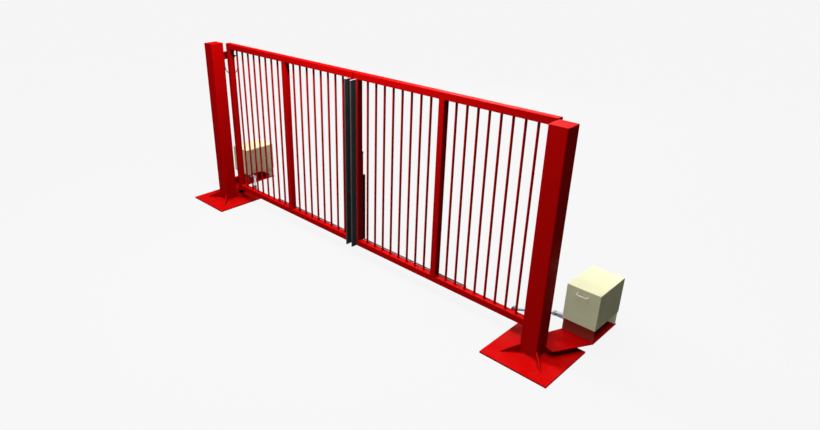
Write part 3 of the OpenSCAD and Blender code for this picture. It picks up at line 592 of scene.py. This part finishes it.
# ---- Decks and gear motors ----
# The deck carries a cast gear case with a screwed lid, a finned motor behind it and a moulded
# box for the controls. All of it stands under the cover.
dress(["deck_plates"], matt_paint("deck_paint", (0.06, 0.06, 0.065)))
soften(["deck_plates"], 0.001)
dress(["gear_cases"], matt_paint("case_paint", (0.22, 0.23, 0.25), 0.55, 30))
soften(["gear_cases"], 0.003, 3)
motor_paint = matt_paint("motor_paint", (0.10, 0.11, 0.13), 0.5)
dress(["motors"], motor_paint)
soften(["motors"], 0.002)
dress(["control_boxes"], matt_paint("box_plastic", (0.62, 0.63, 0.64), 0.48))
soften(["control_boxes"], 0.003, 3)
CAP_SCREW = [(0.0062, 0), (0.0065, 0.0004), (0.0065, 0.0056), (0.0058, 0.0064),
             (0.0031, 0.0064, 6), (0.0030, 0.0032, 6)]
LID_SCREWS = ((3.051, 3.134, 3.217), (0.463, 0.647), 0.425)  # all x, all y, height
BOX_SCREWS = ((2.931, 2.995), (0.571, 0.755), 0.477)
WORM_X, MOTOR_Y, MOTOR_Z, MOTOR_R = 3.0745, 0.655, 0.355, 0.062
FINS, FIN_START, FIN_PITCH, FIN_REACH = 13, 0.020, 0.0115, 0.005
for name, side in halves:
    bm = bmesh.new()
    for columns, rows, z in (LID_SCREWS, BOX_SCREWS):
        for x in columns:
            for y in rows:
                turned(bm, (side * x, y, z), (0, 0, 1), CAP_SCREW)
    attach(piece_from(f"case_screws_{name}", bm, zinc_plate), "frame")
    bm = bmesh.new()
    for i in range(FINS):
        y = MOTOR_Y + FIN_START + FIN_PITCH * i
        turned(bm, (side * WORM_X, y, MOTOR_Z), (0, 1, 0),
               [(MOTOR_R - 0.001, -0.002), (MOTOR_R + FIN_REACH, -0.0012),
                (MOTOR_R + FIN_REACH, 0.0012), (MOTOR_R - 0.001, 0.002)], 40)
    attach(piece_from(f"motor_fins_{name}", bm, motor_paint), "frame")


# ---- Covers ----
# Hoods over the operators, folded from 3 mm sheet steel with round bends and welded corners, then
# coated cream. Four button-head screws hold each one to the deck's tabs.
SHEET = 0.003
BEND_R = 0.007
for name, _ in halves:
    lo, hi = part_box(f"cover_{name}")
    bm = bmesh.new()
    bmesh.ops.create_cube(bm, size=1, matrix=Matrix.Translation((lo + hi) / 2)
                          @ Matrix.Diagonal((*(hi - lo), 1)))
    bmesh.ops.delete(bm, geom=[face for face in bm.faces if face.normal.z < -0.5],
                     context="FACES")
    folds = [edge for edge in bm.edges if not edge.is_boundary]
    bmesh.ops.bevel(bm, geom=folds, offset=BEND_R, segments=5, profile=0.5, affect="EDGES",
                    clamp_overlap=True)
    hood = piece_from(f"cover_hood_{name}", bm, cream, 30)
    shell = hood.modifiers.new("sheet", "SOLIDIFY")
    shell.thickness = SHEET
    shell.offset = -1
    hood.modifiers.new("flat_faces", "WEIGHTED_NORMAL").keep_sharp = True
    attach(hood, "frame")
    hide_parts(f"cover_{name}")


# ---- Cover handles ----
# A 12 mm steel bar, bent twice and set in two small flanges, crosses the front face of each
# cover. It is coated cream like the cover.
def bent_line(corners, radius, steps=8):
    """A line through the corners, with each inner corner rounded to a bend of that radius."""
    corners = [Vector(corner) for corner in corners]
    line = [corners[0]]
    for before, corner, after in zip(corners, corners[1:], corners[2:]):
        back, on = (before - corner).normalized(), (after - corner).normalized()
        half = back.angle(on) / 2
        centre = corner + (back + on).normalized() * (radius / math.sin(half))
        first = (corner + back * (radius / math.tan(half)) - centre).normalized()
        last = (corner + on * (radius / math.tan(half)) - centre).normalized()
        line += [centre + radius * first.slerp(last, i / steps) for i in range(steps + 1)]
    return line + [corners[-1]]


HANDLE_D = 0.012
HALF_RUN = 0.060
HANDLE_BEND = 0.016
bm = bmesh.new()
lo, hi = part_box("cover_handles")
for name, _ in halves:
    cover_lo, cover_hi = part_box(f"cover_{name}")
    middle = (cover_lo.x + cover_hi.x) / 2
    z = (lo.z + hi.z) / 2
    front = lo.y + HANDLE_D / 2
    back = cover_lo.y
    line = bent_line([(middle - HALF_RUN, back, z), (middle - HALF_RUN, front, z),
                      (middle + HALF_RUN, front, z), (middle + HALF_RUN, back, z)], HANDLE_BEND)
    sweep(bm, line, HANDLE_D / 2, sides=20)
    for x in (middle - HALF_RUN, middle + HALF_RUN):
        turned(bm, (x, back, z), (0, -1, 0),
               [(0.0099, 0), (0.0099, 0.0018), (0.0088, 0.0028), (0.0060, 0.0030)])
handles = piece_from("handles", bm, cream_coat("handle_cream_coat", (0.95, 0.92, 0.66)),
                     40)
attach(handles, "frame")
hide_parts("cover_handles")


# ---- Cover screws ----
# Zinc-plated button-head screws with hexagon sockets, two through each side of a cover. They hold
# it to the tabs of the deck.
SCREW_FROM_EDGE, SCREW_Z = 0.105, 0.270
BUTTON_HEAD = [(0.0065, 0), (0.0070, 0.0004), (0.0068, 0.0013), (0.0058, 0.0026), (0.0044, 0.0036),
               (0.0038, 0.0039), (0.0023, 0.0039, 6), (0.0022, 0.0018, 6)]
bm = bmesh.new()
for name, _ in halves:
    lo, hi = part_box(f"cover_{name}")
    for y in (lo.y + SCREW_FROM_EDGE, hi.y - SCREW_FROM_EDGE):
        for x, out in ((lo.x, -1), (hi.x, 1)):
            turned(bm, (x, y, SCREW_Z), (out, 0, 0), BUTTON_HEAD)
screws = piece_from("button_screws", bm, zinc_plate, 30)
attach(screws, "frame")
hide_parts("cover_screws")


# ---- Safety edges ----
# Dark grey extruded rubber profiles, clipped into aluminium channels on each leaf: a deep upright
# one on the front at the meeting end, and a lower one along the bottom rail behind.
def moulded_rubber():
    """Dark blue-grey matt rubber with a dull bloom."""
    material, tree, shader, place, link = blank_finish("edge_rubber_finish")
    shade = spread(tree, noise(tree, place, 6, 5), 0, 1)
    link(between(tree, shade, (0.085, 0.088, 0.094), (0.110, 0.112, 0.118)), shader, "Base Color")
    link(spread(tree, noise(tree, place, 40), 0.55, 0.75), shader, "Roughness")
    shader.inputs["Specular IOR Level"].default_value = 0.3
    bump(tree, shader, noise(tree, place, 500, 2), 0.0003)
    return material


def drawn(bm, outline, start, end):
    """A bar of constant section: outline points go to 3-D by start(u, v) and end(u, v)."""
    first = [bm.verts.new(start(u, v)) for u, v in outline]
    last = [bm.verts.new(end(u, v)) for u, v in outline]
    for i in range(len(outline)):
        n = (i + 1) % len(outline)
        bm.faces.new((first[i], first[n], last[n], last[i]))
    bm.faces.new(list(reversed(first)))
    bm.faces.new(last)


def edge_outline(width, reach, nose):
    """Half-open rubber section: a clip lip, a groove, straight sides and a round nose."""
    half = width / 2
    side_points = [(half, 0), (half, 0.004), (half - 0.0012, 0.005), (half - 0.0012, 0.007),
                   (half, 0.008), (half, reach * 0.45), (half - 0.0006, reach * 0.45 + 0.001),
                   (half - 0.0006, reach * 0.45 + 0.002), (half, reach * 0.45 + 0.003)]
    arc = [(half - nose + nose * math.cos(a), reach - nose + nose * math.sin(a))
           for a in (math.radians(15 * k) for k in range(7))]
    right = side_points + arc
    return right + [(-u, v) for u, v in reversed(right)]


FRONT_EDGE_X, FRONT_EDGE_W, FRONT_CHANNEL, END_INSET = 0.051, 0.022, 0.012, 0.004
REAR_EDGE_TOP, REAR_EDGE_W, REAR_CHANNEL = 0.258, 0.044, 0.006
REAR_EDGE_INNER_X = {"left": -0.010, "right": 0.089}
rubber = moulded_rubber()
for name, side in halves:
    lo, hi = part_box(f"edge_rubber_{name}")
    carrier_lo, carrier_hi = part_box(f"edge_carriers_{name}")
    leaf_lo, leaf_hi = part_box(f"mid_stile_{name}")
    x = side * FRONT_EDGE_X
    base = leaf_lo.y - FRONT_CHANNEL
    low, high = carrier_lo.z + END_INSET, carrier_hi.z - END_INSET
    bm = bmesh.new()
    drawn(bm, edge_outline(FRONT_EDGE_W, base - lo.y, 0.007),
          lambda u, v: (x + u, base - v, low), lambda u, v: (x + u, base - v, high))
    inner_x = REAR_EDGE_INNER_X[name]
    ends = (lo.x, inner_x) if side < 0 else (inner_x, hi.x)
    rear, mid = leaf_hi.y + REAR_CHANNEL, REAR_EDGE_TOP - REAR_EDGE_W / 2
    drawn(bm, edge_outline(REAR_EDGE_W, hi.y - rear, 0.009),
          lambda u, v: (ends[0], rear + v, mid + u), lambda u, v: (ends[1], rear + v, mid + u))
    piece = piece_from(f"rubber_edges_{name}", bm, rubber, 25)
    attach(piece, f"leaf_{name}")
    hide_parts(f"edge_rubber_{name}")
dress(["edge_carriers_left", "edge_carriers_right"],
      bare_metal("edge_aluminium", (0.50, 0.51, 0.53), (0.40, 0.41, 0.43), 0.35, 0.5, 30,
                 (1, 1, 0.1), 0.3))
soften(["edge_carriers_left", "edge_carriers_right"], 0.0008)


# ---- Drop bolt ----
# A round steel bolt slides in a box-section housing on the right leaf's meeting stile. Its upper
# end carries a turned knob, and four button-head screws hold the housing.
END_SCREW_IN, INNER_SCREW_IN, SCREW_IN_X = 0.05, 0.38, 0.012
# Each ring of the knob is a share of its radius, and a height above its foot.
KNOB_RINGS = [(0.74, 0), (0.78, 0.0008), (0.78, 0.0035), (0.82, 0.0048), (0.94, 0.0075),
              (0.99, 0.0110), (1.00, 0.0150), (0.97, 0.0190), (0.88, 0.0225), (0.74, 0.0250),
              (0.50, 0.0266), (0.24, 0.0272)]
bolt_coat = red_coat("bolt_red_coat", (0.34, 0.008, 0.006), 0.4, 0.3)
dress(["bolt_housing"], matt_paint("housing_paint", (0.018, 0.018, 0.020), 0.5))
soften(["bolt_housing"], 0.002)
dress(["drop_bolt"], bolt_coat)
soften(["drop_bolt"], 0.0015)
lo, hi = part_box("bolt_knob")
knob_r = (hi.x - lo.x) / 2
bm = bmesh.new()
turned(bm, (lo.x + knob_r, lo.y + knob_r, lo.z), (0, 0, 1),
       [(share * knob_r, height) for share, height in KNOB_RINGS], 32)
knob = piece_from("knob", bm, bolt_coat, 40)
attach(knob, "drop_bolt")
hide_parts("bolt_knob")
lo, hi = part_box("bolt_housing")
bm = bmesh.new()
for z in (lo.z + END_SCREW_IN, lo.z + INNER_SCREW_IN, hi.z - INNER_SCREW_IN, hi.z - END_SCREW_IN):
    turned(bm, (lo.x + SCREW_IN_X, hi.y, z), (0, 1, 0), BUTTON_HEAD)
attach(piece_from("housing_screws", bm, zinc_plate, 30), "leaf_right")


# ---- Stage ----
# A pale floor under the gate and a pale wall far round it. Both glow a little by themselves, so
# that they stay even, and neither throws light back onto the gate.
def stage_finish(name, glow, albedo):
    """A matt stage surface that glows a little."""
    material, _, shader, _, _ = blank_finish(name)
    shader.inputs["Base Color"].default_value = (albedo, albedo, albedo, 1)
    shader.inputs["Roughness"].default_value = 0.9
    shader.inputs["Specular IOR Level"].default_value = 0.0
    shader.inputs["Emission Color"].default_value = (1, 1, 1, 1)
    shader.inputs["Emission Strength"].default_value = glow
    return material


STAGE_R = 40
bm = bmesh.new()
bmesh.ops.create_circle(bm, cap_ends=True, radius=STAGE_R, segments=96)
floor = bpy.data.objects.new("floor", bpy.data.meshes.new("floor"))
bm.to_mesh(floor.data)
bm.free()
floor.data.materials.append(stage_finish("floor_pale", 0.89, 0.03))
bpy.context.scene.collection.objects.link(floor)
bm = bmesh.new()
bmesh.ops.create_cone(bm, cap_ends=False, radius1=STAGE_R, radius2=STAGE_R, depth=STAGE_R,
                      segments=96, matrix=Matrix.Translation((0, 0, STAGE_R / 2)))
wall = bpy.data.objects.new("wall", bpy.data.meshes.new("wall"))
bm.to_mesh(wall.data)
bm.free()
wall.data.materials.append(stage_finish("wall_pale", 0.92, 0.0))
bpy.context.scene.collection.objects.link(wall)
for backdrop in (floor, wall):
    backdrop.visible_diffuse = False
    backdrop.visible_glossy = False
wall.visible_shadow = False


# ---- Lights ----
# A broad soft light falls almost straight down. A lamp high over the gateway lights what faces
# the middle, a weak fill comes from the front, and a soft box lifts the back of the gate. Diffuse
# bounces are off, so that the red paint doesn't tint the cream covers.
def soft_box(name, place, look_at, size, power):
    """A square soft light at `place`, turned to `look_at`."""
    lamp = bpy.data.objects.new(name, bpy.data.lights.new(name, "AREA"))
    lamp.data.size = size
    lamp.data.energy = power
    lamp.location = place
    lamp.rotation_euler = (Vector(look_at) - Vector(place)).to_track_quat("-Z", "Y").to_euler()
    lamp.visible_camera = False
    bpy.context.scene.collection.objects.link(lamp)


def bare_lamp(name, kind, power):
    """A lamp without a place, of that kind and power."""
    lamp = bpy.data.objects.new(name, bpy.data.lights.new(name, kind))
    lamp.data.energy = power
    bpy.context.scene.collection.objects.link(lamp)
    return lamp


overhead = bare_lamp("overhead", "SUN", 2.75)
overhead.data.angle = math.radians(56)
overhead.rotation_euler = Vector((0.07, 0.13, -1)).to_track_quat("-Z", "Y").to_euler()
middle_lamp = bare_lamp("middle", "POINT", 680)
middle_lamp.location = (0, -0.7, 5.0)
middle_lamp.data.shadow_soft_size = 0.45
front_fill = bare_lamp("front_fill", "SUN", 0.42)
front_fill.data.use_shadow = False
front_fill.rotation_euler = Vector((0, 1, -0.1)).to_track_quat("-Z", "Y").to_euler()
soft_box("rear", (-4, 9, 4.5), (0, 0, 1), 4.0, 220)
world = bpy.data.worlds.new("world")
world.use_nodes = True
world.node_tree.nodes["Background"].inputs["Color"].default_value = (1, 1, 1, 1)
world.node_tree.nodes["Background"].inputs["Strength"].default_value = 0.04
bpy.context.scene.world = world
bpy.context.scene.cycles.diffuse_bounces = 0
